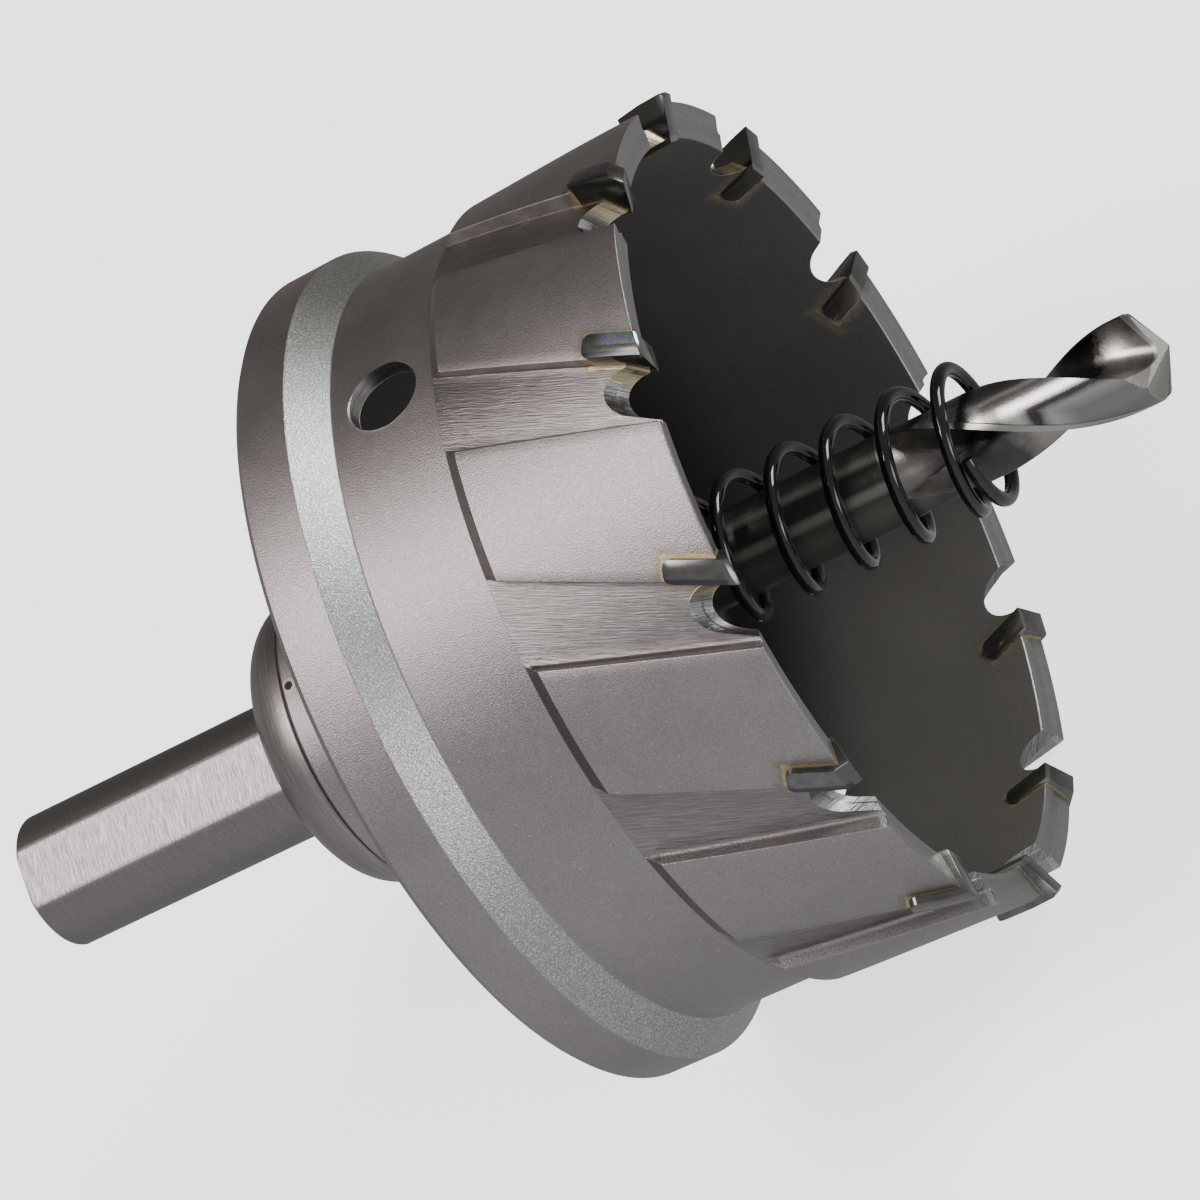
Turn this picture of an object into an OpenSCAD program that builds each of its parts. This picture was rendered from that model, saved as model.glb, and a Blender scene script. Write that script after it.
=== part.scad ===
// Carbide tipped hole cutter with a pilot drill and an ejector spring.
// Each sub-part is drawn about the tool's own axis: z = 0 is the rear face of the flange
// and +z points to the drill's point. lay_down() then rests the tool on a flat surface.

/* [Shank] */
// Diameter of the round stock that the three flats are cut on
shank_d = 13; // [11:0.5:16]
// Length of shank that stands free behind the collar
shank_l = 29.8; // [20:0.5:45]
// Number of driving flats
shank_flats = 3; // [3:1:3]
// Depth of each driving flat
shank_flat_depth = 0.64; // [0.3:0.02:0.9]
// Rounding of the shank's rear edge
shank_round = 0.5; // [0.2:0.1:1.5]
// Turn of the first flat about the axis
shank_flat_turn = -3; // [-60:1:60]

/* [Collar and hub] */
// Diameter of the domed collar where it meets the hub
collar_d = 28.2; // [24:0.2:34]
// Length of the collar
collar_l = 5.4; // [4:0.2:9]
// Radius of the collar's rounded rear edge
collar_round = 5.2; // [2:0.1:5.3]
// Diameter of the hub behind the flange
hub_d = 28.8; // [26:0.2:36]
// Length of the hub behind the flange
hub_l = 13.4; // [9:0.2:20]
// Diameter of the arbor's spigot inside the hub
spigot_d = 16; // [14:0.5:20]
// Chamfer on the two edges that make the seam between collar and hub
seam_chamfer = 0.35; // [0.1:0.05:0.6]

/* [Flange] */
// How far the flange's band stands outside the cutting diameter
flange_rise = 0.55; // [0.2:0.05:6]
// Width of the flange's plain outer band
flange_band_w = 5.2; // [3:0.1:9]
// Chamfer on the flange's rear edge
flange_chamfer = 0.6; // [0.2:0.1:1]
// Length of the bevel in front of the band
flange_bevel_l = 2.9; // [1.5:0.1:4]

/* [Cup] */
// Cutting diameter, over the tips
cut_d = 76.2; // [60:0.1:80]
// How far the plain wall and the flute floors lie inside the cutting diameter
wall_inset = 2.2; // [1.8:0.05:3]
// Thickness of the wall
wall_t = 1.55; // [1.2:0.05:3]
// Depth from the rim's outer edge back to the flange's rear face
cup_h = 37.1; // [32:0.1:48]
// Thickness of the cup's floor
floor_t = 9; // [5:0.1:9.4]
// Radius of the fillet between floor and wall
floor_fillet = 1; // [0.4:0.1:3]
// How far the rim's face falls back from its outer to its inner edge
rim_fall = 0.7; // [0:0.1:1.2]
// Diameter of the round holes through the wall
side_hole_d = 6.6; // [3:0.1:7]
// Distance of the side holes from the flange's rear face
side_hole_z = 13.1; // [12.8:0.1:14.4]
// Number of side holes
side_holes = 2; // [1:1:4]
// Turn of the first side hole about the axis
side_hole_turn = -32.7; // [-60:0.1:60]

/* [Lands and gullets] */
// Number of teeth
teeth = 12; // [10:1:13]
// Where the lands' rear step begins
land_z = 18; // [17:0.1:20]
// Length of the sloped step behind each land
land_step_l = 1.3; // [0.5:0.1:2]
// How far the lands lie inside the cutting diameter at the rear
land_rear_inset = 1.05; // [0.8:0.05:1.5]
// How far the lands lie inside the cutting diameter at the rim
land_front_inset = 0.6; // [0.3:0.05:0.8]
// Slope of the land's leading side, measured from the axis
face_slope = 24; // [15:0.5:28]
// Slope of the land's trailing side, measured from the axis
trail_slope = 18; // [12:0.5:24]
// Angle from one leading side back to the same land's trailing side, at the rim
land_angle = 21.4; // [18:0.1:23]
// Turn of the first leading side at the rim
tooth_turn = 12.6; // [0:0.1:30]
// Radius of the gullet's rounded bottom
gullet_r = 2.15; // [1.5:0.05:2.3]
// Depth of the gullet at the bore, along the tooth's face
gullet_depth = 2.4; // [2:0.1:3.2]
// Slope of the gullet's far side, measured from the tooth's face
gullet_side_slope = 9; // [3:1:20]
// Backward slope of the gullet's floor, from the inner to the outer wall
gullet_floor_slope = 42; // [30:1:46]

/* [Carbide tips] */
// Thickness of a tip along the cut
tip_t = 2; // [1.6:0.1:2.4]
// Length of a tip behind the rim
tip_seat_l = 5.2; // [3.5:0.1:6]
// Radius of the two rounded corners at a tip's rear end
tip_corner_r = 0.7; // [0.3:0.05:0.8]
// How far the tips stand inside the cup's bore
tip_inset = 0.4; // [0.2:0.05:2]
// How far a tip's face stands in front of its land's leading side
tip_proud = 0.04; // [0.02:0.01:0.2]
// How much a tip tapers inwards at its rear end
tip_taper = 0.35; // [0:0.05:0.5]
// How far the tallest kind of tip stands in front of the rim
tall_rise = 1; // [0.7:0.05:1.6]
// Outer bevel of the tallest kind of tip
tall_bevel = 0.35; // [0.1:0.05:0.6]
// How far the bevelled kind of tip stands in front of the rim
bevelled_rise = 0.65; // [0.5:0.05:1.2]
// Outer bevel of the bevelled kind of tip
bevelled_bevel = 1; // [0.7:0.05:1.4]
// How far the flat kind of tip stands in front of the rim
flat_rise = 0.5; // [0.3:0.05:1]
// Outer bevel of the flat kind of tip
flat_bevel = 0.15; // [0.05:0.05:0.4]
// Slope of the cutting edge towards the bore, on the tall and bevelled kinds
edge_fall = 20; // [5:1:25]
// Slope of the cutting edge towards the bore, on the flat kind
flat_fall = 9; // [0:1:15]
// Thickness of the braze between a tip and its pocket
braze_t = 0.2; // [0.1:0.05:0.3]

/* [Pilot drill] */
// Diameter of the drill
drill_d = 8; // [6:0.1:8.5]
// Distance from the rim to the drill's point
drill_reach = 30.5; // [26:0.5:40]
// Overall length of the drill
drill_l = 80; // [66:1:84]
// Full point angle
point_angle = 120; // [110:1:135]
// Advance of a flute in one full turn
flute_lead = 48; // [40:1:60]
// Distance from the point back to where the flutes begin to run out
flute_l = 19; // [16:1:26]
// Length of the flutes' run-out
runout_l = 7; // [4:1:9]
// Distance from the axis to the plane of each cutting lip
lip_offset = 0.6; // [0.4:0.05:0.8]
// Radius of the flute's hollow
flute_round = 1.95; // [1.7:0.05:2.1]
// Distance along the lip from the axis to the middle of the hollow
flute_shift = 1.2; // [0.9:0.05:1.4]
// Angle that the heel side of the flute spreads towards the surface
heel_spread = 4; // [2:0.5:8]
// Width of the guiding margin behind each lip, as an angle
margin_angle = 10; // [6:1:14]
// Clearance of the body behind the margin
body_clearance = 0.12; // [0.05:0.01:0.2]
// Turn of the first cutting lip's outer corner about the axis
lip_turn = 110; // [0:1:180]
// Depth of the small flat that the set screw bears on
drill_flat_depth = 0.5; // [0.2:0.1:1]
// Clearance round the drill's shank
drill_clearance = 0.03; // [0.02:0.01:0.1]
// Depth of the drill's bore behind the flange's rear face
drill_bore_depth = 32; // [15:1:36]

/* [Ejector spring] */
// Wire diameter
wire_d = 1.3; // [0.8:0.05:1.5]
// Mean diameter of the coils
coil_d = 12.1; // [11:0.1:13]
// Distance between neighbouring coils
coil_pitch = 5.45; // [5:0.05:6.5]
// Distance from the cup's floor to the spring's front end
spring_l = 41; // [34:0.5:46]
// Turn of the wire's front end about the axis
spring_turn = 25; // [0:1:360]
// How far the loose spring hangs to one side of the drill
spring_shift = 0.3; // [0:0.05:0.5]
// Direction about the axis in which the spring hangs
spring_shift_turn = -85; // [-180:1:180]

/* [Set screw] */
// Thread diameter of the set screw
screw_d = 6; // [4:0.5:6]
// Length of the set screw
screw_l = 8; // [6:0.5:9]
// Size of its hexagon socket, across flats
screw_socket = 3; // [2:0.5:3]
// Depth of its hexagon socket
screw_socket_depth = 3; // [2:0.5:4]
// Distance of the set screw behind the flange's rear face
screw_z = 6.6; // [5:0.1:7]
// Turn of the set screw about the axis
screw_turn = 187; // [150:1:220]

/* [Fits] */
// Radial clearance between the spigot and the hub, and round the set screw
fit_clearance = 0.03; // [0.02:0.01:0.1]
// Gap between the spring's rear coil and the cup's floor
spring_seat_gap = 0.02; // [0.01:0.01:0.1]

/* [Hidden] */
$fn = 96;
more = 1;

shank_r = shank_d / 2;
collar_r = collar_d / 2;
hub_r = hub_d / 2;
spigot_r = spigot_d / 2;
drill_r = drill_d / 2;
wire_r = wire_d / 2;
coil_r = coil_d / 2;
screw_r = screw_d / 2;
cut_r = cut_d / 2;
flange_r = cut_r + flange_rise;
wall_r = cut_r - wall_inset;
bore_r = wall_r - wall_t;
tip_inner_r = bore_r - tip_inset;
land_rear_r = cut_r - land_rear_inset;
land_front_r = cut_r - land_front_inset;
land_root_r = (bore_r + wall_r) / 2;

flange_front_z = flange_band_w + flange_bevel_l;
collar_rear_z = -hub_l - collar_l;
shank_rear_z = collar_rear_z - shank_l;
drill_tip_z = cup_h + drill_reach;
drill_rear_z = drill_tip_z - drill_l;
tooth_pitch = 360 / teeth;
land_l = cup_h - land_z;

// The tool lies on its flange's front edge and on the rim of one land, between two tips
tip_back_angle = tip_t / cos(face_slope) / cut_r * 180 / PI;
rest_turn = tooth_turn + 5 * tooth_pitch - (tip_back_angle + tooth_pitch) / 2;
rest_tilt = atan((flange_r - land_front_r) / (cup_h - flange_band_w));
rest_height = flange_r * cos(rest_tilt) + flange_band_w * sin(rest_tilt);
rest_rear_x = (shank_rear_z + shank_round) * cos(rest_tilt)
    - (shank_r - shank_round) * sin(rest_tilt) - shank_round;
rest_front_x = drill_tip_z * cos(rest_tilt);

function two_digits(k) = str(k < 10 ? "0" : "", k);

// Lays the upright tool down, with its point towards +X, and rests it on z = 0
module lay_down() {
    translate([-(rest_rear_x + rest_front_x) / 2, 0, rest_height])
        rotate([0, rest_tilt + 90, 0])
            rotate([0, 0, -rest_turn])
                children();
}

// One tooth's own frame: x is radial, y stands square on the tooth's face, and z runs
// forward along that face from the rim
module at_tooth(k) {
    rotate([0, 0, tooth_turn + (k - 1) * tooth_pitch])
        translate([0, 0, cup_h])
            rotate([-face_slope, 0, 0])
                children();
}

// Extrudes a flat outline, drawn in y and z, along x
module along_x(from_x, to_x) {
    translate([from_x, 0, 0])
        rotate([90, 0, 90])
            linear_extrude(height = to_x - from_x)
                children();
}

// Flange, hub, floor and thin wall, as one turned profile
module cup_profile() {
    seat_r = spigot_r + fit_clearance;
    difference() {
        polygon([
            [seat_r, -hub_l],
            [hub_r - seam_chamfer, -hub_l],
            [hub_r, -hub_l + seam_chamfer],
            [hub_r, 0],
            [flange_r - flange_chamfer, 0],
            [flange_r, flange_chamfer],
            [flange_r, flange_band_w],
            [wall_r, flange_front_z],
            [wall_r, cup_h - rim_drop(wall_r)],
            [bore_r, cup_h - rim_fall],
            [bore_r, floor_t + floor_fillet],
            [bore_r - floor_fillet, floor_t],
            [seat_r, floor_t]
        ]);
        translate([bore_r - floor_fillet, floor_t + floor_fillet])
            circle(r = floor_fillet);
    }
}

// How far the rim's sloped face lies behind its outer edge at a given radius
function rim_drop(r) = rim_fall * (land_front_r - r) / (land_front_r - bore_r);

module land_profile() {
    polygon([
        [land_root_r, land_z],
        [wall_r, land_z],
        [land_rear_r, land_z + land_step_l],
        [land_front_r, cup_h],
        [wall_r, cup_h - rim_drop(wall_r)],
        [land_root_r, cup_h - rim_drop(wall_r) - more]
    ]);
}

// A land: a piece of the stepped ring between its leading and its trailing side
module land(k) {
    side_l = land_l / cos(face_slope) + 2 * more;
    width = land_angle * PI / 180 * flange_r * 1.5;
    intersection() {
        rotate_extrude()
            land_profile();
        at_tooth(k)
            along_x(land_root_r - more, flange_r + more)
                translate([-width, -side_l - land_l])
                    square([width - tip_proud, side_l + land_l + 2 * more]);
        rotate([0, 0, tooth_turn + (k - 1) * tooth_pitch - land_angle])
            translate([0, 0, cup_h])
                rotate([-trail_slope, 0, 0])
                    along_x(land_root_r - more, flange_r + more)
                        translate([0, -side_l - land_l])
                            square([width, side_l + land_l + 2 * width]);
    }
}

// Outline of a tip's seat seen along the radius, grown all round by the braze
module seat_outline(grow) {
    corner = tip_corner_r + grow;
    rear = -tip_seat_l - grow;
    left = -tip_t - grow;
    front = 3 * more;
    translate([left, rear + corner])
        square([tip_t + 2 * grow, front - rear - corner]);
    translate([left + corner, rear])
        square([tip_t + 2 * grow - 2 * corner, front - rear]);
    for (y = [left + corner, grow - corner])
        translate([y, rear + corner])
            circle(r = corner);
}

// Height of the middle of the gullet's round bottom, in the gullet's own frame
gullet_middle = gullet_r - gullet_depth * cos(gullet_floor_slope);

// Where the gullet's cut ends outside the lands
gullet_reach = (cut_r - bore_r + gullet_depth + 2 * more) / cos(gullet_floor_slope);

// The gullet's own frame: its floor falls backwards from the bore to the outer wall
module at_gullet(k) {
    at_tooth(k)
        translate([bore_r, 0, 0])
            rotate([0, gullet_floor_slope, 0])
                children();
}

// Chip gullet in front of a tooth: round bottom, straight along the face, open to the rim
module gullet(k) {
    middle = gullet_middle;
    far = gullet_side_slope;
    front = 6 * more;
    foot = [gullet_r + gullet_r * cos(far), middle - gullet_r * sin(far)];
    at_gullet(k)
        along_x(-3 * more, gullet_reach) {
            translate([gullet_r, middle])
                circle(r = gullet_r);
            polygon([
                [-braze_t / 2, middle],
                [-braze_t / 2, front],
                [foot[0] + (front - foot[1]) * tan(far), front],
                foot,
                [gullet_r, middle]
            ]);
        }
}

module side_hole(k) {
    rotate([0, 0, side_hole_turn + k * 360 / side_holes])
        translate([bore_r - 2 * more, 0, side_hole_z])
            rotate([0, 90, 0])
                cylinder(d = side_hole_d, h = wall_r - bore_r + 4 * more);
}

module screw_hole() {
    rotate([0, 0, screw_turn])
        translate([0, 0, -screw_z])
            rotate([0, 90, 0])
                cylinder(r = screw_r + fit_clearance, h = hub_r + more);
}

module cup_body() {
    color("#9a9391")
        difference() {
            union() {
                rotate_extrude()
                    cup_profile();
                for (k = [1 : teeth])
                    land(k);
            }
            for (k = [1 : teeth]) {
                gullet(k);
                at_tooth(k)
                    along_x(bore_r - 2 * more, flange_r + 2 * more)
                        seat_outline(braze_t);
            }
            for (k = [1 : side_holes])
                side_hole(k);
            screw_hole();
        }
}

// Domed collar that seats against the hub
module collar_profile() {
    round_r = collar_r - collar_round;
    round_z = collar_rear_z + collar_round;
    translate([0, collar_rear_z])
        square([round_r, collar_l]);
    polygon([
        [0, round_z],
        [collar_r, round_z],
        [collar_r, -hub_l - seam_chamfer],
        [collar_r - seam_chamfer, -hub_l],
        [0, -hub_l]
    ]);
    intersection() {
        translate([round_r, round_z])
            circle(r = collar_round);
        translate([0, collar_rear_z])
            square([collar_r + more, collar_round]);
    }
}

module shank_profile() {
    round_z = shank_rear_z + shank_round;
    translate([0, shank_rear_z])
        square([shank_r - shank_round, shank_l + more]);
    translate([0, round_z])
        square([shank_r, shank_l - shank_round + more]);
    intersection() {
        translate([shank_r - shank_round, round_z])
            circle(r = shank_round);
        translate([0, shank_rear_z])
            square([shank_r + more, shank_round]);
    }
}

module shank() {
    difference() {
        rotate_extrude()
            shank_profile();
        for (k = [1 : shank_flats])
            rotate([0, 0, shank_flat_turn + k * 360 / shank_flats])
                translate([shank_r - shank_flat_depth, -shank_r, shank_rear_z - more])
                    cube([shank_r, shank_d, shank_l + 3 * more]);
    }
}

module arbor() {
    spigot_l = hub_l + floor_t - 0.5;
    color("#8b8683")
        difference() {
            union() {
                rotate_extrude()
                    collar_profile();
                translate([0, 0, -hub_l - 0.1])
                    cylinder(r = spigot_r, h = spigot_l + 0.1);
                shank();
            }
            translate([0, 0, -drill_bore_depth])
                cylinder(r = drill_r + drill_clearance, h = drill_bore_depth + floor_t + more);
            screw_hole();
        }
}

// Cross-section of the drill, half of it: from a lip's outer corner along the lip, round the
// flute's hollow, out to the heel, and back over the land to the other lip's corner
hollow_c = norm([flute_shift, lip_offset + flute_round]);
hollow_turn = atan2(lip_offset + flute_round, flute_shift);
hollow_end = hollow_turn + asin(flute_round / hollow_c);
lip_lead = asin(lip_offset / drill_r);
lip_foot = atan2(lip_offset, flute_shift);
heel_angle = hollow_end + heel_spread;
land_start = 180 + lip_lead - margin_angle;

function hollow_radius(a) =
    hollow_c * cos(a - hollow_turn)
    - sqrt(max(0, pow(flute_round, 2) - pow(hollow_c * sin(a - hollow_turn), 2)));
function polar(r, a) = [r * cos(a), r * sin(a)];
function spread(from, to, n) = [for (i = [0 : n - 1]) from + (to - from) * i / n];

half_section = concat(
    [for (a = spread(lip_lead, lip_foot, 4)) polar(lip_offset / sin(a), a)],
    [for (a = spread(lip_foot, hollow_end, 9)) polar(hollow_radius(a), a)],
    [for (t = spread(0, 1, 2))
        polar(
            hollow_radius(hollow_end) * (1 - t) + (drill_r - body_clearance) * t,
            hollow_end + heel_spread * t
        )],
    [for (a = spread(heel_angle, land_start, 5)) polar(drill_r - body_clearance, a)],
    [for (a = spread(land_start, 180 + lip_lead, 2)) polar(drill_r, a + 0.01)]
);
section = concat(half_section, [for (p = half_section) -p]);

corner_z = drill_tip_z - drill_r / tan(point_angle / 2);
flute_z = drill_tip_z - flute_l;
runout_z = flute_z - runout_l;
web_r = hollow_c - flute_round;

// Least radius of the flutes' floor in the run-out, and largest radius inside the point
function floor_radius(z) =
    z >= flute_z ? 0 : web_r + (drill_r - web_r) * pow((flute_z - z) / runout_l, 2);
function cone_radius(z) = (drill_tip_z - z) * tan(point_angle / 2);
function drill_ring(z) = [
    for (p = section)
        let (
            r = min(max(norm(p), floor_radius(z)), cone_radius(z), drill_r - 0.01),
            a = atan2(p[1], p[0]) - lip_lead + lip_turn + 360 * (z - corner_z) / flute_lead
        )
        [r * cos(a), r * sin(a), z]
];

ring_steps = 32;
point_steps = 6;
drill_levels = concat(
    spread(runout_z - more, corner_z, ring_steps),
    [for (t = spread(0, 1, point_steps)) corner_z + (drill_tip_z - corner_z) * t],
    [drill_tip_z - 0.05]
);

// Side faces of a stack of rings of n points each, and its two end faces
function skin(rings, n) = concat(
    [for (i = [0 : rings - 2], j = [0 : n - 1])
        let (a = i * n + j, b = i * n + (j + 1) % n)
        [a, a + n, b + n]],
    [for (i = [0 : rings - 2], j = [0 : n - 1])
        let (a = i * n + j, b = i * n + (j + 1) % n)
        [a, b + n, b]],
    [[for (j = [0 : n - 1]) j]],
    [[for (j = [n - 1 : -1 : 0]) (rings - 1) * n + j]]
);

module pilot_drill() {
    color("#a8a39c") {
        difference() {
            translate([0, 0, drill_rear_z])
                cylinder(r = drill_r, h = runout_z - drill_rear_z);
            rotate([0, 0, screw_turn])
                translate([drill_r - drill_flat_depth, -drill_r, -screw_z - screw_r - more])
                    cube([drill_r, drill_d, screw_d + 2 * more]);
        }
        polyhedron(
            points = [for (z = drill_levels, p = drill_ring(z)) p],
            faces = skin(len(drill_levels), len(section))
        );
    }
}

// The spring's wire, from its front end backwards: the end coils lie flat
closed_turns = 0.77;
blend_turns = 0.12;
wire_sides = 10;
turn_steps = 20;
spring_rear_z = floor_t + spring_seat_gap + wire_r;
spring_front_z = floor_t + spring_l - wire_r;
open_turns = (spring_front_z - spring_rear_z) / coil_pitch;
all_turns = open_turns + 2 * closed_turns;
wire_rings = round(all_turns * turn_steps);

function ramp(u) =
    u < closed_turns - blend_turns ? 0
    : u < closed_turns + blend_turns ? pow(u - closed_turns + blend_turns, 2) / (4 * blend_turns)
    : u - closed_turns;
function wire_z(u) =
    u < all_turns / 2
    ? spring_front_z - coil_pitch * ramp(u)
    : spring_rear_z + coil_pitch * ramp(all_turns - u);
function wire_ring(u) = [
    for (j = [0 : wire_sides - 1])
        let (
            a = spring_turn + 360 * u,
            b = -360 * j / wire_sides,
            r = coil_r + wire_r * cos(b)
        )
        [r * cos(a), r * sin(a), wire_z(u) + wire_r * sin(b)]
];

module ejector_spring() {
    color("#1b1b1d")
        rotate([0, 0, spring_shift_turn])
            translate([spring_shift, 0, 0])
                rotate([0, 0, -spring_shift_turn])
                    polyhedron(
                        points = [for (i = [0 : wire_rings], p = wire_ring(all_turns * i / wire_rings)) p],
                        faces = skin(wire_rings + 1, wire_sides)
                    );
}

module drill_set_screw() {
    inner_x = drill_r - drill_flat_depth;
    color("#2c2c2e")
        rotate([0, 0, screw_turn])
            translate([inner_x, 0, -screw_z])
                rotate([0, 90, 0])
                    difference() {
                        cylinder(r = screw_r, h = screw_l);
                        translate([0, 0, screw_l - screw_socket_depth])
                            cylinder(d = screw_socket / cos(30), h = screw_l, $fn = 6);
                    }
}

// The three kinds of tip follow each other round the rim
function kind(k) = k % 3;
function tip_rise(k) = [flat_rise, tall_rise, bevelled_rise][kind(k)];
function tip_bevel(k) = [flat_bevel, tall_bevel, bevelled_bevel][kind(k)];
function tip_fall(k) = [flat_fall, edge_fall, edge_fall][kind(k)];

// Ground shape of a tip seen along the cut: outer bevel, edge falling to the bore
module tip_profile(k) {
    rear_z = cup_h - tip_seat_l - 2 * more;
    top_z = cup_h + tip_rise(k);
    peak_r = cut_r - tip_bevel(k);
    polygon([
        [tip_inner_r, rear_z],
        [cut_r - tip_taper, rear_z],
        [cut_r, cup_h - 2 * more],
        [cut_r, top_z - tip_bevel(k)],
        [peak_r, top_z],
        [tip_inner_r, top_z - (peak_r - tip_inner_r) * tan(tip_fall(k))]
    ]);
}

module carbide_tip(k) {
    color("#3c4048")
        intersection() {
            rotate_extrude()
                tip_profile(k);
            at_tooth(k)
                along_x(tip_inner_r - more, cut_r + more)
                    seat_outline(0);
        }
}

// The braze fills what the pocket leaves round the tip: beside the land the full depth of
// the rim, and in front of the tooth's face only the thin wall, up to the gullet's floor
module braze_seam(k) {
    gullet_floor = gullet_middle - sqrt(pow(gullet_r, 2) - pow(gullet_r - braze_t, 2));
    color("#b8923f")
        difference() {
            intersection() {
                at_tooth(k)
                    along_x(bore_r - more, flange_r + more)
                        seat_outline(braze_t);
                union() {
                    rotate_extrude()
                        polygon([
                            [bore_r, land_z],
                            [wall_r, land_z],
                            [wall_r, cup_h - rim_drop(wall_r)],
                            [bore_r, cup_h - rim_fall]
                        ]);
                    land(k);
                }
            }
            at_tooth(k)
                along_x(bore_r - 2 * more, flange_r + 2 * more)
                    seat_outline(0);
            at_gullet(k)
                along_x(-3 * more, gullet_reach)
                    translate([-braze_t / 2, gullet_floor])
                        square([2 * more, tip_seat_l + 2 * more]);
        }
}

lay_down() cup_body();
lay_down() arbor();
lay_down() pilot_drill();
lay_down() ejector_spring();
lay_down() drill_set_screw();
for (k = [1 : teeth]) {
    lay_down() carbide_tip(k);
    lay_down() braze_seam(k);
}
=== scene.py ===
import math
import bpy
import bmesh
from mathutils import Matrix, Vector


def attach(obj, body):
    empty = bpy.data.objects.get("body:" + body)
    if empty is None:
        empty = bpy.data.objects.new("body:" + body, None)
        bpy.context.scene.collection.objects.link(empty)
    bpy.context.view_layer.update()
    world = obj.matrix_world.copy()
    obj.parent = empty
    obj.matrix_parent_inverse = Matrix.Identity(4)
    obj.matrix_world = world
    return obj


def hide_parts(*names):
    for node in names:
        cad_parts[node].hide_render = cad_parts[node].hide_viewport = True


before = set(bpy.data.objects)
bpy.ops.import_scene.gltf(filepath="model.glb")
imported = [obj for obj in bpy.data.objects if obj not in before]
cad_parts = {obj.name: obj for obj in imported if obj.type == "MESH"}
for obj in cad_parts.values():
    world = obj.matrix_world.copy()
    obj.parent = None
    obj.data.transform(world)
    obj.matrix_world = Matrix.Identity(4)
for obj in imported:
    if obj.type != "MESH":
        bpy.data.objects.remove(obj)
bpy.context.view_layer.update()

print("frame loaded")

# the tool's own frame: millimetres, z = 0 on the flange's rear face, +z to the drill's point;
# names end in R for a radius, L for a length and Z for a place on the axis; angles are in degrees
tool = {
    "teeth": 12, "toothTurn": 12.6, "faceSlope": 24, "trailSlope": 18, "landAngle": 21.4,
    "flangeR": 38.65, "bandW": 5.2, "bevelL": 2.9, "wallR": 35.9, "boreR": 34.35, "rimZ": 37.1,
    "rimFall": 0.7, "floorZ": 9, "hubR": 14.4, "hubL": 13.4, "landZ": 18, "landStep": 1.3,
    "landRearR": 37.05, "landFrontR": 37.5, "seatR": 8.03, "tipProud": 0.04,
}
pitch = 360 / tool["teeth"]     # degrees from one tooth to the next

# how the tool lies on the floor: rolled about its axis, then tilted on to flange and cup
rest = {"turn": 145.95386, "tilt": 2.0646277, "height": 38.812249, "middle": 9.3855903}

millimetres = Matrix.Scale(0.001, 4)
toolToRow = (Matrix.Translation((-rest["middle"] / 1000, 0, rest["height"] / 1000))
             @ Matrix.Rotation(math.radians(rest["tilt"] + 90), 4, "Y")
             @ Matrix.Rotation(math.radians(-rest["turn"]), 4, "Z"))


def sind(angle):
    return math.sin(math.radians(angle))


def cosd(angle):
    return math.cos(math.radians(angle))


def tand(angle):
    return math.tan(math.radians(angle))


def polar(r, angle, z):
    return Vector((r * cosd(angle), r * sind(angle), z))


def spread(low, high, count, last=False):
    steps = count - 1 if last else count
    return [low + (high - low) * i / steps for i in range(count)]


def addPiece(name, mesh, sharp=35):
    mesh.transform(toolToRow @ millimetres)
    for face in mesh.polygons:
        face.use_smooth = True
    mesh.set_sharp_from_angle(angle=math.radians(sharp))
    piece = bpy.data.objects.new(name, mesh)
    bpy.context.scene.collection.objects.link(piece)
    return piece


def gridMesh(name, rows, closed=False, capped=False):
    # every row is a ring of points; neighbouring rows are joined by four-sided faces
    width = len(rows[0])
    count = len(rows)
    faces = []
    for i in range(count if closed else count - 1):
        for j in range(width):
            a, b = i * width + j, i * width + (j + 1) % width
            c = ((i + 1) % count) * width
            faces.append((a, b, c + (j + 1) % width, c + j))
    if capped:
        faces.append(tuple(range(width - 1, -1, -1)))
        faces.append(tuple((count - 1) * width + j for j in range(width)))
    mesh = bpy.data.meshes.new(name)
    mesh.from_pydata([p for row in rows for p in row], [], faces)
    mesh.update()
    return mesh


def rounded(corners):
    # corners are (r, z, radius); a radius above 0 turns the corner into an arc
    points = []
    for i, (r, z, radius) in enumerate(corners):
        here = Vector((r, z))
        if radius == 0:
            points.append(here)
            continue
        before = (Vector(corners[i - 1][:2]) - here).normalized()
        after = (Vector(corners[(i + 1) % len(corners)][:2]) - here).normalized()
        half = before.angle(after) / 2
        reach = radius / math.tan(half)
        centre = here + (before + after).normalized() * (radius / math.sin(half))
        start, end = here + before * reach - centre, here + after * reach - centre
        turn = start.angle_signed(end)
        for t in spread(0, 1, 5, last=True):
            arm = start.copy()
            arm.rotate(Matrix.Rotation(-turn * t, 2))
            points.append(centre + arm)
    return points


def combine(name, parts):
    mesh = bpy.data.meshes.new(name)
    joined = bmesh.new()
    for part in parts:
        joined.from_mesh(part)
        bpy.data.meshes.remove(part)
    joined.to_mesh(mesh)
    joined.free()
    return mesh


def carve(mesh, cutter):
    body = bpy.data.objects.new("body", mesh)
    tools = bpy.data.objects.new("cutter", cutter)
    for thing in (body, tools):
        bpy.context.scene.collection.objects.link(thing)
    cut = body.modifiers.new("cut", "BOOLEAN")
    cut.operation = "DIFFERENCE"
    cut.solver = "EXACT"
    cut.object = tools
    graph = bpy.context.evaluated_depsgraph_get()
    carved = bpy.data.meshes.new_from_object(body.evaluated_get(graph))
    for thing in (body, tools):
        bpy.data.objects.remove(thing)
    return carved


def toothFrame(k):
    return (Matrix.Rotation(math.radians(tool["toothTurn"] + pitch * k), 4, "Z")
            @ Matrix.Translation((0, 0, tool["rimZ"]))
            @ Matrix.Rotation(math.radians(-tool["faceSlope"]), 4, "X"))


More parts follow.
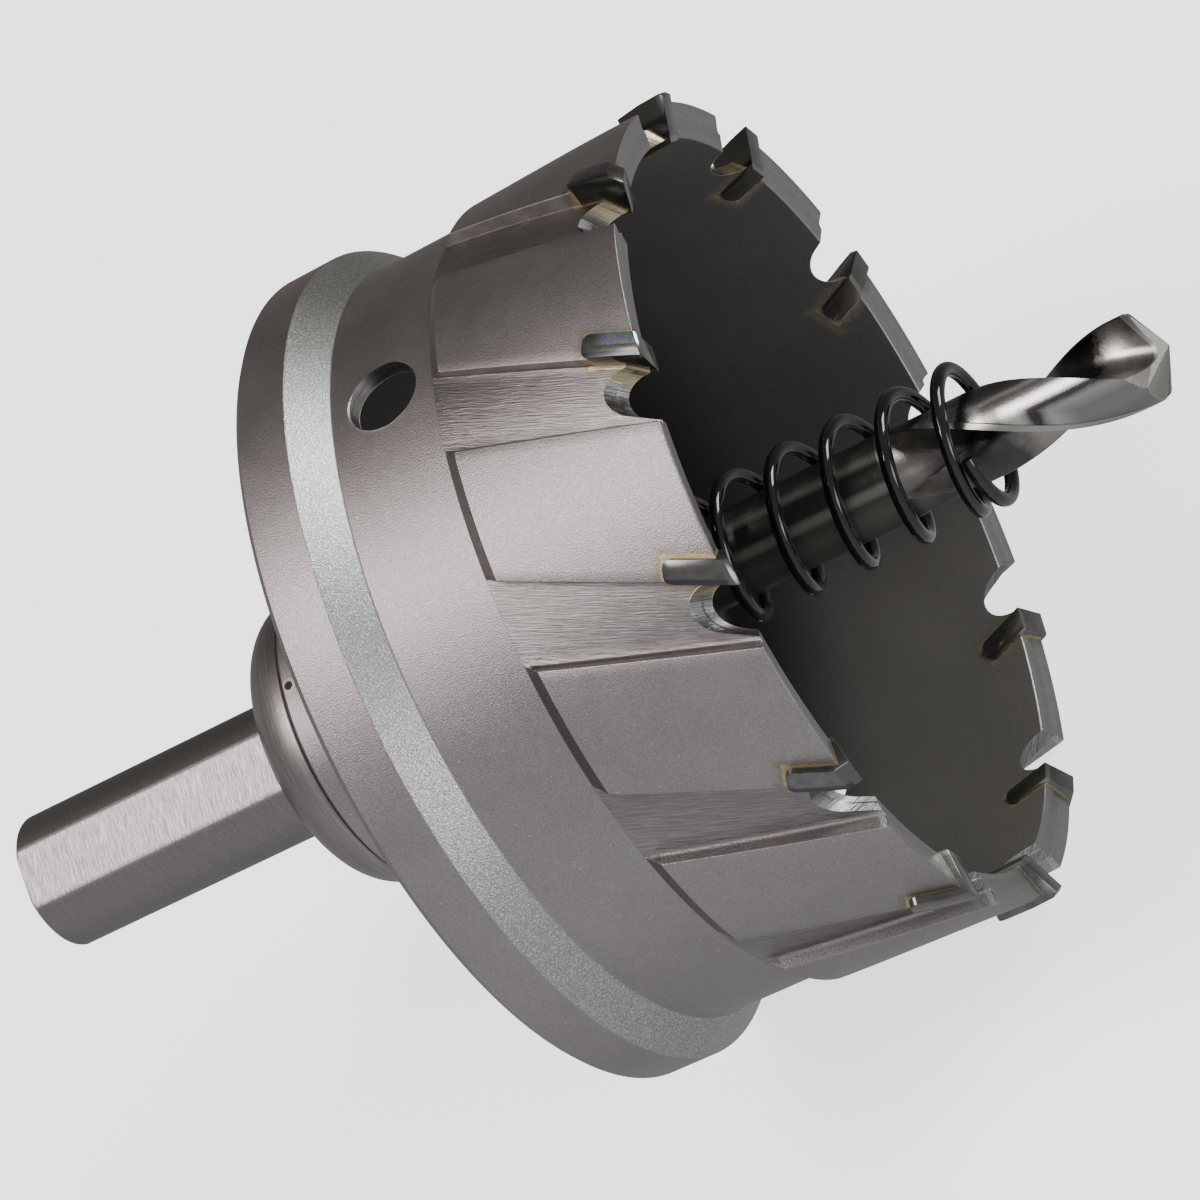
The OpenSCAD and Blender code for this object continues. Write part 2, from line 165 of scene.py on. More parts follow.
def prism(outline, fromX, toX, place):
    # outline is drawn in y and z, and runs along x
    rows = [[place @ Vector((x, y, z)) for y, z in outline] for x in (fromX, toX)]
    return gridMesh("prism", rows, capped=True)


cup = {
    "hubChamfer": 0.35, "flangeChamfer": 0.6, "floorFillet": 1, "edgeRound": 0.12,
    "trailFillet": 0.45, "faceFillet": 0.12, "filletGap": 0.01, "rimRound": 0.1,
    "gulletR": 2.15, "gulletDepth": 2.4, "gulletSide": 9, "gulletFloor": 42, "gulletReach": 11,
    "seatLength": 5.2, "seatCorner": 0.7, "tipThick": 2, "braze": 0.2,
    "holeR": 3.3, "holeZ": 13.1, "holeTurn": -32.7, "mouthEdge": 0.12,
    "screwR": 3.03, "screwZ": 6.6, "screwTurn": 187, "screwEdge": 0.3,
}


def rimHeight(r):
    # the rim falls towards the bore
    drop = tool["rimFall"] * (tool["landFrontR"] - r) / (tool["landFrontR"] - tool["boreR"])
    return tool["rimZ"] - drop


def landRadius(z):
    # the ring that the lands are cut from: cup wall, then a short slope up, then the lands
    low, high = tool["landZ"], tool["landZ"] + tool["landStep"]
    if z <= low:
        return tool["wallR"]
    if z < high:
        return tool["wallR"] + (tool["landRearR"] - tool["wallR"]) * (z - low) / (high - low)
    share = (z - high) / (tool["rimZ"] - high)
    return tool["landRearR"] + (tool["landFrontR"] - tool["landRearR"]) * share


def faceTurn(z, r):
    # angle of a land's leading side, measured from its tooth
    depth = tool["rimZ"] - z
    proud = tool["tipProud"] / cosd(tool["faceSlope"])
    return math.degrees(math.asin((-depth * tand(tool["faceSlope"]) - proud) / r))


def trailTurn(z, r):
    # angle of a land's trailing side, measured from its tooth
    depth = tool["rimZ"] - z
    return math.degrees(math.asin(-depth * tand(tool["trailSlope"]) / r)) - tool["landAngle"]


def outerPoint(column, z, base):
    # radius and angle of one column of the cup's outer mesh; low steps get smaller rounds
    # a column is (kind, share of the width or offset in mm, None or (side, height in mm))
    kind, value, height = column
    top, floor = landRadius(z), tool["wallR"]
    lift = top - floor
    edge = min(cup["edgeRound"], lift * 0.45)
    scale = edge / cup["edgeRound"]
    if kind == "land":
        low = trailTurn(z, top) + math.degrees(edge / top)
        high = faceTurn(z, top) - math.degrees(edge / top)
        return top, base + low + (high - low) * value
    if kind == "flute":
        low = faceTurn(z, floor) + math.degrees((cup["faceFillet"] + cup["filletGap"]) / floor)
        high = trailTurn(z, floor) + pitch - math.degrees(cup["trailFillet"] / floor)
        return floor, base + low + (high - low) * value
    side, amount = height
    if side == "top":
        r = top - amount * scale
    else:
        r = floor + min(amount, lift * 0.55)
    turn = faceTurn(z, r) if kind == "face" else trailTurn(z, r) + pitch
    offset = value * (scale if side == "top" else 1)
    return r, base + turn + math.degrees(offset / r)


def cupColumns():
    # across one land, down its leading side, over the flute and up to the next land
    edge, foot, fillet = cup["edgeRound"], cup["faceFillet"], cup["trailFillet"]
    columns = [("land", share, None) for share in spread(0, 1, 13, last=True)]
    for t in (30, 60, 90):
        columns.append(("face", edge * sind(t) - edge, ("top", edge * (1 - cosd(t)))))
    for t in (0, 30, 60, 90):
        offset = foot + cup["filletGap"] - foot * cosd(t)
        columns.append(("face", offset, ("bottom", foot * (1 - sind(t)))))
    columns += [("flute", share, None) for share in spread(0, 1, 10, last=True)[1:]]
    for t in (18, 36, 54, 72, 90):
        columns.append(("trail", -fillet + fillet * sind(t), ("bottom", fillet * (1 - cosd(t)))))
    for t in (0, 30, 60):
        columns.append(("trail", edge - edge * cosd(t), ("top", edge * (1 - sind(t)))))
    return columns


def cupMesh():
    columns = cupColumns()
    teeth = [tool["toothTurn"] + pitch * k for k in range(tool["teeth"])]
    hubRear, landTop = -tool["hubL"], tool["landZ"] + tool["landStep"]

    # turned profile behind the lands
    profile = rounded([
        (tool["seatR"], hubRear, 0),
        (tool["hubR"] - cup["hubChamfer"], hubRear, 0.05),
        (tool["hubR"], hubRear + cup["hubChamfer"], 0.1),
        (tool["hubR"], 0, 0.4),
        (tool["flangeR"] - cup["flangeChamfer"], 0, 0.15),
        (tool["flangeR"], cup["flangeChamfer"], 0.15),
        (tool["flangeR"], tool["bandW"], 0.12),
        (tool["wallR"], tool["bandW"] + tool["bevelL"], 0.25),
        (tool["wallR"], tool["landZ"] - 6, 0),
    ])
    straight = [base + outerPoint(column, tool["landZ"], 0)[1] for base in teeth
                for column in columns]
    rows = [[polar(point.x, turn, point.y) for turn in straight] for point in profile]
    for behind in (5, 4, 3, 2, 1, 0.1):
        rows.append([polar(tool["wallR"], turn, tool["landZ"] - behind) for turn in straight])

    # lands and flutes, with close rows where the lands rise
    levels = [tool["landZ"] + up for up in (0, 0.06, 0.14, 0.26)]
    levels += spread(tool["landZ"] + 0.42, landTop - 0.2, 5)
    levels += [landTop + up for up in (-0.14, -0.06, 0, 0.08)]
    levels += spread(landTop + 0.3, tool["rimZ"] - 0.4, 34, last=True)
    for z in levels:
        rows.append([polar(*outerPoint(column, z, base), z) for base in teeth
                     for column in columns])

    # rim, bore and floor
    front = [outerPoint(column, tool["rimZ"], base) for base in teeth for column in columns]
    soft = cup["rimRound"]
    for t in (0, 30, 60, 90):
        rows.append([polar(r - soft + soft * cosd(t), angle, rimHeight(r) - soft + soft * sind(t))
                     for r, angle in front])
    for share in (0.3, 0.6, 1):
        across = [(r + (tool["boreR"] + soft - r) * share, angle) for r, angle in front]
        rows.append([polar(r, angle, rimHeight(r)) for r, angle in across])
    inner = rounded([
        (tool["boreR"] + soft, tool["rimZ"] - tool["rimFall"], 0),
        (tool["boreR"], tool["rimZ"] - tool["rimFall"] - soft, 0),
        (tool["boreR"], 30, 0), (tool["boreR"], 24, 0), (tool["boreR"], 17, 0),
        (tool["boreR"], tool["floorZ"], cup["floorFillet"]),
        (26, tool["floorZ"], 0), (17, tool["floorZ"], 0),
        (tool["seatR"], tool["floorZ"], 0),
    ])[1:]
    for point in inner:
        rows.append([polar(point.x, angle, point.y) for r, angle in front])
    return gridMesh("cup", rows, closed=True)


def seatOutline(grow):
    # a tip's outline on its face; grow makes the pocket that leaves room for the braze
    corner = cup["seatCorner"] + grow
    rear, front = -cup["seatLength"] - grow, 3
    left, right = -cup["tipThick"] - grow, grow
    points = [(right, front), (left, front)]
    for t in spread(180, 270, 7, last=True):
        points.append((left + corner + corner * cosd(t), rear + corner + corner * sind(t)))
    for t in spread(270, 360, 7, last=True):
        points.append((right - corner + corner * cosd(t), rear + corner + corner * sind(t)))
    return points


def gulletOutline():
    # a round floor, square up beside the tip and leaning away on the far side
    radius, far = cup["gulletR"], cup["gulletSide"]
    middle, front = radius - cup["gulletDepth"] * cosd(cup["gulletFloor"]), 6
    points = [(-0.1, front), (-0.1, middle)]
    for t in spread(180, 360 - far, 28, last=True):
        points.append((radius + radius * cosd(t), middle + radius * sind(t)))
    footY, footZ = points[-1]
    points.append((footY + (front - footZ) * tand(far), front))
    return points


def cupCutters():
    parts = []
    for k in range(tool["teeth"]):
        place = toothFrame(k)
        tilted = (place @ Matrix.Translation((tool["boreR"], 0, 0))
                  @ Matrix.Rotation(math.radians(cup["gulletFloor"]), 4, "Y"))
        parts.append(prism(gulletOutline(), -3, cup["gulletReach"], tilted))
        pocket = seatOutline(cup["braze"])
        parts.append(prism(pocket, tool["boreR"] - 2, tool["flangeR"] + 2, place))
    return parts


def roundCutter(radius, fromX, toX, turn, z, edge=0, edgeX=0):
    # a round bar along x, turned to its place; edge chamfers the hole's mouth at edgeX
    place = (Matrix.Rotation(math.radians(turn), 4, "Z") @ Matrix.Translation((0, 0, z)))
    profile = [(fromX, radius), (toX, radius)]
    if edge:
        profile = [(fromX, radius), (edgeX - edge, radius), (edgeX + 1, radius + edge + 1)]
    rows = [[place @ Vector((x, r * cosd(t), r * sind(t))) for t in spread(0, 360, 64)]
            for x, r in profile]
    return gridMesh("round", rows, capped=True)


def cupBody():
    mesh = cupMesh()
    holes = [roundCutter(cup["holeR"], 30, 38, cup["holeTurn"] + 180 * k, cup["holeZ"],
                         cup["mouthEdge"], tool["wallR"]) for k in (0, 1)]
    holes.append(roundCutter(cup["screwR"], 10, 16, cup["screwTurn"], -cup["screwZ"],
                             cup["screwEdge"], tool["hubR"]))
    mesh = carve(mesh, combine("holes", holes))
    for part in cupCutters():
        mesh = carve(mesh, part)
    return mesh


cupPiece = addPiece("cupShell", cupBody())
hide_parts("cup_body")
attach(cupPiece, "root")
print("cup:", len(cupPiece.data.polygons), "faces")


drill = {
    "r": 4, "tipZ": 67.6, "rearZ": -12.4, "rearChamfer": 0.4, "pointAngle": 130,
    "lead": 48, "fluteL": 19, "runout": 7,
    "lipOffset": 0.6, "hollowR": 1.95, "hollowShift": 1.2, "spread": 4, "margin": 10,
    "clearance": 0.12, "lipTurn": 110, "landTurn": 123, "landWidth": 78, "relief": 12,
    "cornerR": 3.71, "cornerDrop": 1.95, "groundL": 1.4, "marginRise": 1.6,
    # direction of a gash's flat, and its distance from the frame's origin
    "gash": (0.7395, -0.016, 0.6724), "gashAt": 45.507,
}


def hollowPlace():
    # distance and angle of the middle of the flute's round wall
    up, along = drill["lipOffset"] + drill["hollowR"], drill["hollowShift"]
    return math.hypot(along, up), math.degrees(math.atan2(up, along))


def hollowRadius(angle):
    # distance from the drill's axis to the flute's round wall
    reach, turn = hollowPlace()
    across = reach * sind(angle - turn)
    return reach * cosd(angle - turn) - math.sqrt(max(0, drill["hollowR"] ** 2 - across ** 2))


def drillSection():
    # one half is flute face, hollow, heel, relieved land and margin; the other is its half turn
    reach, turn = hollowPlace()
    hollowEnd = turn + math.degrees(math.asin(drill["hollowR"] / reach))
    lead = math.degrees(math.asin(drill["lipOffset"] / drill["r"]))
    foot = math.degrees(math.atan2(drill["lipOffset"], drill["hollowShift"]))
    body = drill["r"] - drill["clearance"]
    heel = hollowEnd + drill["spread"]
    marginStart = 180 + lead - drill["margin"]
    half = [(drill["lipOffset"] / sind(a), a) for a in spread(lead, foot, 22)]
    half += [(hollowRadius(a), a) for a in spread(foot, hollowEnd, 34)]
    inner = hollowRadius(hollowEnd)
    half += [(inner + (body - inner) * t, hollowEnd + drill["spread"] * t)
             for t in spread(0, 1, 7)]
    half += [(body, a) for a in spread(heel, marginStart, 20)]
    marginTop = marginStart + drill["marginRise"]
    half += [(body + drill["clearance"] * t, marginStart + drill["marginRise"] * t)
             for t in spread(0, 1, 3)]
    half += [(drill["r"], a) for a in spread(marginTop, 180 + lead, 6)]
    return lead, half + [(r, a + 180) for r, a in half]


def drillMesh():
    lead, section = drillSection()
    coneSlope = tand(drill["pointAngle"] / 2)
    cornerFall = (drill["r"] - drill["cornerR"]) * drill["cornerDrop"]
    cornerZ = drill["tipZ"] - drill["r"] / coneSlope - cornerFall
    fluteZ = drill["tipZ"] - drill["fluteL"]
    runoutZ = fluteZ - drill["runout"]
    web = min(r for r, a in section)

    def turnAt(a, z):
        return a - lead + drill["lipTurn"] + 360 * (z - cornerZ) / drill["lead"]

    def radiusAt(r, z):
        if z >= fluteZ:
            return r
        floor = web + (drill["r"] - web) * ((fluteZ - z) / drill["runout"]) ** 2
        return min(max(r, floor), drill["r"])

    def flank(r, a):
        # the point's cone, ground back behind each lip
        behind = (lead + 180 - a) % 180
        land = drill["landWidth"]
        share = behind / land if behind < land else max(0, 1 - (behind - land) / (180 - land))
        fall = r * tand(drill["relief"]) * math.radians(land) * share
        corner = max(0, r - drill["cornerR"]) * drill["cornerDrop"]
        return drill["tipZ"] - r / coneSlope - max(fall, corner)

    rows = []
    edge = drill["rearChamfer"]
    for r, z in rounded([(0.4, drill["rearZ"], 0), (drill["r"] - edge, drill["rearZ"], 0),
                         (drill["r"], drill["rearZ"] + edge, 0), (drill["r"], 0, 0),
                         (drill["r"], 20, 0), (drill["r"], runoutZ - 1, 0)]):
        rows.append([polar(r, turnAt(a, runoutZ - 1), z) for _, a in section])
    sideTop = cornerZ - drill["groundL"]
    for z in spread(runoutZ - 0.8, sideTop, 128, last=True):
        rows.append([polar(radiusAt(r, z), turnAt(a, z), z) for r, a in section])
    ends = [flank(r, a) for r, a in section]
    for t in spread(0, 1, 13, last=True)[1:]:
        heights = [sideTop + (end - sideTop) * t for end in ends]
        rows.append([polar(r, turnAt(a, z), z) for (r, a), z in zip(section, heights)])
    rim = rows[-1]
    for share in (drill["cornerR"] / drill["r"], 0.85, 0.7, 0.55, 0.4, 0.25, 0.12, 0.04):
        rows.append([Vector((point.x * share, point.y * share, flank(r * share, a)))
                     for (r, a), point in zip(section, rim)])
    mesh = gridMesh("drill", rows, capped=True)

    # two flat gashes thin the point, half a turn apart
    shape = bmesh.new()
    shape.from_mesh(mesh)
    a, b, c = drill["gash"]
    for normal in (Vector((a, b, c)), Vector((-a, -b, c))):
        every = shape.verts[:] + shape.edges[:] + shape.faces[:]
        bmesh.ops.bisect_plane(shape, geom=every, plane_co=normal * drill["gashAt"],
                               plane_no=normal, clear_outer=True)
        bmesh.ops.holes_fill(shape, edges=[edge for edge in shape.edges if edge.is_boundary])
    shape.to_mesh(mesh)
    shape.free()
    return mesh


drillPiece = addPiece("twistDrill", drillMesh(), sharp=13)
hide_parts("pilot_drill")
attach(drillPiece, "root")
print("drill:", len(drillPiece.data.polygons), "faces")


spring = {
    "wireR": 0.65, "coilR": 6.05, "pitch": 5.45, "frontZ": 49.35, "rearZ": 9.67, "endRound": 0.1,
    "shift": 0.3, "shiftTurn": -85,      # it sits this far to one side, as it has play
    "startTurn": 25, "closed": 0.77, "blend": 0.12, "sides": 20, "steps": 64,
}


def springMesh():
    wire, coil = spring["wireR"], spring["coilR"]
    turns = (spring["frontZ"] - spring["rearZ"]) / spring["pitch"] + 2 * spring["closed"]

    def ramp(u):
        low, blend = spring["closed"] - spring["blend"], spring["blend"]
        if u < low:
            return 0
        if u < low + 2 * blend:
            return (u - low) ** 2 / (4 * blend)
        return u - spring["closed"]

    def middle(u):
        if u < turns / 2:
            z = spring["frontZ"] - spring["pitch"] * ramp(u)
        else:
            z = spring["rearZ"] + spring["pitch"] * ramp(turns - u)
        return polar(coil, spring["startTurn"] + 360 * u, z)

    aside = polar(spring["shift"], spring["shiftTurn"], 0)
    count = round(turns * spring["steps"])
    rows = []
    for i in range(count + 1):
        u = turns * i / count
        centre = middle(u)
        out = Vector((centre.x, centre.y, 0)).normalized()
        end = min(i, count - i)
        size = wire - spring["endRound"] if end == 0 else wire
        up = Vector((0, 0, 1))
        rows.append([aside + centre + out * size * cosd(t) - up * size * sind(t)
                     for t in spread(0, 360, spring["sides"])])
    return gridMesh("spring", rows, capped=True)


springPiece = addPiece("ejectorSpring", springMesh(), sharp=50)
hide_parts("ejector_spring")
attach(springPiece, "root")
print("spring:", len(springPiece.data.polygons), "faces")


arbor = {
    "shankR": 6.5, "flatDepth": 0.64, "flatTurn": -3, "round": 0.5, "shankL": 29.8,
    "collarR": 14.1, "collarL": 5.4, "collarRound": 5.2, "spigotR": 8, "spigotZ": 8.5,
    "spigotEdge": 0.3, "boreR": 4.03, "boreEndZ": -32, "seamGap": 0.01, "shankFillet": 0.12,
}


def arborMesh():
    apothem = arbor["shankR"] - arbor["flatDepth"]
    half = math.degrees(math.acos(apothem / arbor["shankR"]))
    turns = []
    for k in range(3):
        centre = arbor["flatTurn"] + 120 * k
        turns += spread(centre - half, centre + half, 13, last=True)
        turns += spread(centre + half, centre + 120 - half, 22)[1:]

    def flatRadius(turn, r):
        away = min(abs((turn - arbor["flatTurn"] - 120 * k + 180) % 360 - 180) for k in range(3))
        return min(r, apothem / cosd(away)) if away < 60 else r

    collarRear = -tool["hubL"] - arbor["collarL"]
    shankRear = collarRear - arbor["shankL"]
    centreR = arbor["collarR"] - arbor["collarRound"]
    rows = []
    ends = [(1.2, shankRear + 0.25), (1.6, shankRear), (4, shankRear)]
    edge = arbor["round"]
    for t in spread(-90, 0, 7, last=True):
        ends.append((arbor["shankR"] - edge + edge * cosd(t), shankRear + edge + edge * sind(t)))
    for r, z in ends:
        rows.append([polar(flatRadius(turn, r), turn, z) for turn in turns])
    for z in spread(shankRear + 1.2, collarRear - 0.15, 12, last=True) + [collarRear - 0.04]:
        rows.append([polar(flatRadius(turn, arbor["shankR"]), turn, z) for turn in turns])
    rows.append([polar(flatRadius(turn, arbor["shankR"]) + arbor["shankFillet"], turn, collarRear)
                 for turn in turns])
    profile = [(8.2, collarRear)]
    for t in spread(-90, 0, 20, last=True):
        profile.append((centreR + arbor["collarRound"] * cosd(t),
                        collarRear + arbor["collarRound"] + arbor["collarRound"] * sind(t)))
    front, collar, gap = -tool["hubL"], arbor["collarR"], arbor["seamGap"]
    spigot, top, bore = arbor["spigotR"], arbor["spigotZ"], arbor["boreR"]
    edge = arbor["spigotEdge"]
    profile += [(collar, front - 0.3), (collar - 0.1, front - 0.12), (collar - 0.35, front - gap),
                (spigot, front - gap), (spigot, 0), (spigot, top - edge), (spigot - edge, top),
                (bore + edge, top), (bore, top - edge), (bore, -20), (bore, arbor["boreEndZ"])]
    for r, z in profile:
        rows.append([polar(r, turn, z) for turn in turns])
    return gridMesh("arbor", rows, capped=True)


def arborBody():
    hole = roundCutter(cup["screwR"], 2, 12, cup["screwTurn"], -cup["screwZ"])
    return carve(arborMesh(), hole)


arborPiece = addPiece("arborBody", arborBody(), sharp=28)
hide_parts("arbor")
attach(arborPiece, "root")
print("arbor:", len(arborPiece.data.polygons), "faces")


tip = {
    "overR": 38.1, "innerR": 33.95, "taper": 0.35, "edgeRound": 0.03, "middleTurn": -1.5,
    "kinds": [                 # rise in front of the rim, outer bevel, fall towards the bore
        {"rise": 1.0, "bevel": 0.35, "fall": 20},
        {"rise": 0.65, "bevel": 1.0, "fall": 20},
        {"rise": 0.5, "bevel": 0.15, "fall": 9},
    ],
}


def tipMesh(k):
    kind = tip["kinds"][k % len(tip["kinds"])]
    mesh = prism(seatOutline(0), tip["innerR"], tip["overR"], toothFrame(k))
    shape = bmesh.new()
    shape.from_mesh(mesh)
    bpy.data.meshes.remove(mesh)
    out = polar(1, tool["toothTurn"] + pitch * k + tip["middleTurn"], 0)
    top = tool["rimZ"] + kind["rise"]
    peak = tip["overR"] - kind["bevel"]
    up = Vector((0, 0, 1))

    def cutAway(point, normal):
        every = shape.verts[:] + shape.edges[:] + shape.faces[:]
        bmesh.ops.bisect_plane(shape, geom=every, plane_co=point, plane_no=normal,
                               clear_outer=True)
        rim = [edge for edge in shape.edges if edge.is_boundary]
        bmesh.ops.holes_fill(shape, edges=rim)

    cutAway(out * peak + up * top, up + out)
    cutAway(out * peak + up * top, up - out * tand(kind["fall"]))
    cutAway(out * tip["overR"] + up * (tool["rimZ"] - 2),
            out - up * (tip["taper"] / cup["seatLength"]))
    bmesh.ops.remove_doubles(shape, verts=shape.verts, dist=0.0005)
    sharp = [edge for edge in shape.edges if len(edge.link_faces) == 2
             and edge.calc_face_angle(0) > math.radians(25)]
    bmesh.ops.bevel(shape, geom=sharp, offset=tip["edgeRound"], segments=2, profile=0.5,
                    affect="EDGES", clamp_overlap=True)
    bmesh.ops.recalc_face_normals(shape, faces=shape.faces)
    done = bpy.data.meshes.new("tip")
    shape.to_mesh(done)
    shape.free()
    return done


tipPieces = []
for k in range(tool["teeth"]):
    piece = addPiece("tip%02d" % (k + 1), tipMesh(k), sharp=30)
    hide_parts("carbide_tip_%02d" % (k + 1))
    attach(piece, "root")
    tipPieces.append(piece)
print("tips:", len(tipPieces))


class Wire:
    # one output socket; plain Python operators add the Math nodes
    def __init__(self, finish, socket):
        self.finish, self.socket = finish, socket

    def math(self, operation, other=None, swap=False):
        inputs = {0: other, 1: self} if swap else {0: self, 1: other}
        return self.finish.node("ShaderNodeMath", {"operation": operation}, inputs)

    def __add__(self, other):
        return self.math("ADD", other)

    __radd__ = __add__

    def __sub__(self, other):
        return self.math("SUBTRACT", other)

    def __rsub__(self, other):
        return self.math("SUBTRACT", other, swap=True)

    def __mul__(self, other):
        return self.math("MULTIPLY", other)

    __rmul__ = __mul__

    def __truediv__(self, other):
        return self.math("DIVIDE", other)


class Finish:
    # the node tree of one material, or of the world when that is the holder
    def __init__(self, name, holder=None):
        self.material = holder or bpy.data.materials.new(name)
        self.material.use_nodes = True
        self.tree = self.material.node_tree
        self.tree.nodes.clear()

    def node(self, kind, settings=None, inputs=None, output=0):
        # settings go in first, then each input's link or value; gives one output
        made = self.tree.nodes.new(kind)
        for key, value in (settings or {}).items():
            if key == "stops":
                ramp = made.color_ramp
                while len(ramp.elements) < len(value):
                    ramp.elements.new(0.5)
                for element, (position, shade) in zip(ramp.elements, value):
                    element.position = position
                    element.color = (*shade, 1)
            else:
                setattr(made, key, value)
        for key, value in (inputs or {}).items():
            if isinstance(value, Wire):
                self.tree.links.new(value.socket, made.inputs[key])
            elif value is not None:
                socket = made.inputs[key]
                if socket.type == "RGBA" and len(value) == 3:
                    value = (*value, 1)
                socket.default_value = value
        return Wire(self, made.outputs[output])

    def toolPoint(self):
        # the shaded point in the tool's own frame, in millimetres
        where = self.node("ShaderNodeTexCoord", None, None, "Object")
        return self.node("ShaderNodeMapping", {"vector_type": "TEXTURE"}, {
            "Vector": where, "Location": tuple(toolToRow.translation),
            "Rotation": tuple(toolToRow.to_euler("XYZ")), "Scale": (0.001, 0.001, 0.001)})

    def split(self, vector):
        parts = self.node("ShaderNodeSeparateXYZ", None, {0: vector})
        return [Wire(self, socket) for socket in parts.socket.node.outputs]

    def around(self):
        # that point, its x, y and z, its distance from the axis and its angle in radians
        point = self.toolPoint()
        x, y, z = self.split(point)
        return point, x, y, z, (x * x + y * y).math("SQRT"), y.math("ARCTAN2", x)

    def join(self, x, y, z):
        return self.node("ShaderNodeCombineXYZ", None, {0: x, 1: y, 2: z})

    def noise(self, vector, scale, detail, roughness):
        return self.node("ShaderNodeTexNoise", None, {
            "Vector": vector, "Scale": scale, "Detail": detail, "Roughness": roughness})

    def band(self, value, low, high, soft):
        # 1 between low and high, falling to 0 over soft on both sides of each end
        return (self.step(value, low - soft, low + soft)
                - self.step(value, high - soft, high + soft))

    def step(self, value, low, high):
        # 0 at low, 1 at high, with a smooth change between them
        return self.node("ShaderNodeMapRange", {"interpolation_type": "SMOOTHSTEP"}, {
            "Value": value, "From Min": low, "From Max": high})

    def mix(self, amount, first, second):
        return self.node("ShaderNodeMix", {"data_type": "RGBA"}, {0: amount, 6: first, 7: second},
                         output=2)

    def ramp(self, value, stops):
        return self.node("ShaderNodeValToRGB", {"stops": stops}, {0: value})

    def bump(self, height, strength, distance):
        return self.node("ShaderNodeBump", None, {
            "Height": height, "Strength": strength, "Distance": distance})

    def surface(self, **sockets):
        # Base_Color stands for the socket Base Color, and so on
        names = {key.replace("_", " "): value for key, value in sockets.items()}
        shader = self.node("ShaderNodeBsdfPrincipled", None, names)
        end = self.tree.nodes.new("ShaderNodeOutputMaterial")
        self.tree.links.new(shader.socket, end.inputs["Surface"])
        return self.material


def toothPlace(r, z, turn):
    # place beside the nearest tooth, in mm: y square on its face, along the face from the rim
    depth = z - tool["rimZ"]
    step = math.radians(pitch)
    share = (turn - math.radians(tool["toothTurn"]) - depth * tand(tool["faceSlope"]) / r) / step
    share = share - share.math("ROUND")
    around = r * share * step
    y = around * cosd(tool["faceSlope"])
    return y, around * sind(tool["faceSlope"]) + depth / cosd(tool["faceSlope"])


cupLook = {
    # blasted steel, and the pitted bevel of the flange
    "dark": (0.245, 0.225, 0.221), "light": (0.345, 0.317, 0.312), "speck": (0.52, 0.50, 0.48),
    "bevelDark": (0.33, 0.335, 0.32), "bevelLight": (0.80, 0.80, 0.77),
    # milled flutes, the leading wall of each land, painted lighter as if lit, and painted shade on
    # the step behind it
    "fluteDark": (0.19, 0.174, 0.170), "fluteLight": (0.325, 0.30, 0.294),
    "wallDark": (0.24, 0.22, 0.215), "wallLight": (0.44, 0.41, 0.40),
    "stepShade": (0.16, 0.145, 0.140),
    # ground gullets and rim, with the braze that ran beside the tips and its heat tint
    "scoopDark": (0.12, 0.12, 0.12), "scoopLight": (0.30, 0.30, 0.30),
    "scoopGold": (0.60, 0.52, 0.34), "rimDark": (0.27, 0.275, 0.275), "rim": (0.42, 0.43, 0.43),
    "edge": (0.46, 0.44, 0.36), "gold": (0.42, 0.365, 0.20), "straw": (0.20, 0.172, 0.125),
    # bore with painted light and shade, side holes and small marks
    "insideDark": (0.082, 0.077, 0.071), "insideLight": (0.185, 0.174, 0.162),
    "deepShade": (0.03, 0.028, 0.026), "holeDark": (0.24, 0.228, 0.215),
    "holeLight": (0.50, 0.48, 0.46), "nick": (0.07, 0.062, 0.056),
    "punchAt": (13.67, -4.3, -12.5), "scratchTurn": -56.8, "scratchZ": 25.9, "scratchR": 2.05,
}


def gulletSkin(steel, r, toothY, toothZ):
    # distance to the ground surface of the nearest gullet, and a noise drawn out along it
    slope, radius = cup["gulletFloor"], cup["gulletR"]
    outward = r - tool["boreR"]
    floorZ = outward * sind(slope) + toothZ * cosd(slope)
    reach = outward * cosd(slope) - toothZ * sind(slope)
    middle = radius - cup["gulletDepth"] * cosd(slope)
    down = (floorZ - middle).math("MINIMUM", 0.0)
    lean = (floorZ - middle).math("MAXIMUM", 0.0) * tand(cup["gulletSide"])
    sideways = toothY - radius - lean
    skin = ((sideways * sideways + down * down).math("SQRT") - radius).math("ABSOLUTE")
    lines = steel.noise(steel.join(toothY * 3.2, floorZ * 3.2, reach * 0.14), 2.6, 3, 0.65)
    return skin, lines


def gulletColour(steel, toothY, lines):
    # grey grinding lines, golden from the braze close to the tip
    ground = steel.mix(steel.step(lines, 0.36, 0.64), cupLook["scoopDark"], cupLook["scoopLight"])
    gilt = steel.step(toothY, 1.7, 0.9) * steel.step(lines, 0.25, 0.5) * 0.8
    return steel.mix(gilt, ground, cupLook["scoopGold"])


def boreToneAndShade(steel, y, z, r, turn, cloud, grain):
    # swept dark steel, with painted light on one side and painted shade, nearly black, towards the
    # floor
    swept = steel.noise(steel.join(turn * 5, z * 2, r * 2), 1.1, 2, 0.5)
    share = swept * 0.1 + cloud * 0.25 + grain * 0.1 + steel.step(y, -16, 12) * 0.55
    bore = steel.mix(steel.step(share, 0.12, 0.88), cupLook["insideDark"], cupLook["insideLight"])
    return steel.mix(steel.step(z, 21, 10), bore, cupLook["deepShade"])


